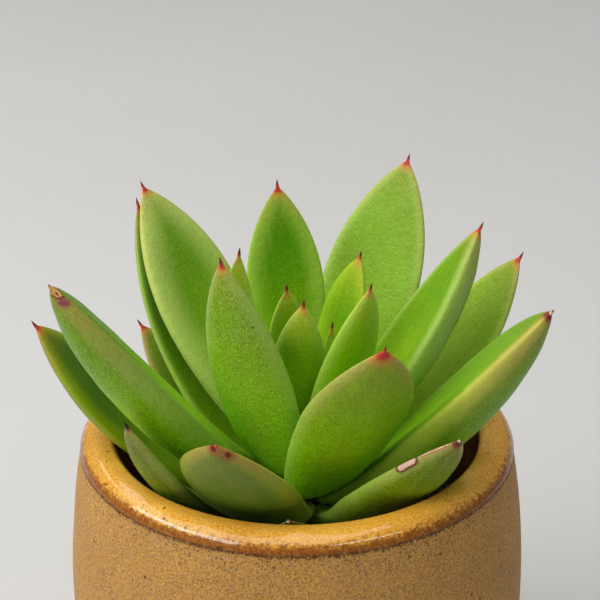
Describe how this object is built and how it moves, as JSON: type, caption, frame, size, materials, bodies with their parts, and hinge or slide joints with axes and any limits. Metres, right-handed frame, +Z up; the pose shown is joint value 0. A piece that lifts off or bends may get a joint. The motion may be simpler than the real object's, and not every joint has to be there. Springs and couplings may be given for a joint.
{
  "type": "potted echeveria",
  "caption": "rosette of pointed fleshy leaves on a short stem, growing in a round stoneware pot with a thick rounded lip",
  "frame": {"origin": "middle of the pot's flat base", "axes": "+Z up along the pot's axis; the front of the rosette, towards which its stem leans, is -Y; +X is to the right seen from the front"},
  "size_m": [0.0986, 0.0926, 0.1279],
  "materials": {
    "glaze": "gloss on the lip, satin on the body",
    "soil": "matte",
    "stem": "matte",
    "leaf": "satin",
    "young_leaf": "satin"
  },
  "bodies": {
    "root": {"pot": "glaze", "soil": "soil", "stem": "stem", "heart": "young_leaf", "leaf_00_bud_right": "young_leaf", "leaf_01_bud_back": "young_leaf", "leaf_02_bud_front": "young_leaf", "leaf_03_inner_back_right": "young_leaf", "leaf_04_inner_left": "young_leaf", "leaf_05_inner_right": "leaf", "leaf_06_back": "leaf", "leaf_07_front_left": "leaf", "leaf_08_right": "leaf", "leaf_09_back_left": "leaf", "leaf_10_front": "leaf", "leaf_11_back_right": "leaf", "leaf_12_left": "leaf", "leaf_13_right_front": "leaf", "leaf_14_low_back": "leaf", "leaf_15_front_blunt": "leaf", "leaf_16_right_back": "leaf", "leaf_17_left_back": "leaf", "leaf_18_low_right_front": "leaf", "leaf_19_low_back_right": "leaf", "leaf_20_low_left_front": "leaf", "leaf_21_low_right": "leaf", "leaf_22_low_back_left": "leaf", "leaf_23_low_front": "leaf", "leaf_24_low_right_back": "leaf", "leaf_25_low_left": "leaf"}
  },
  "joints": []
}
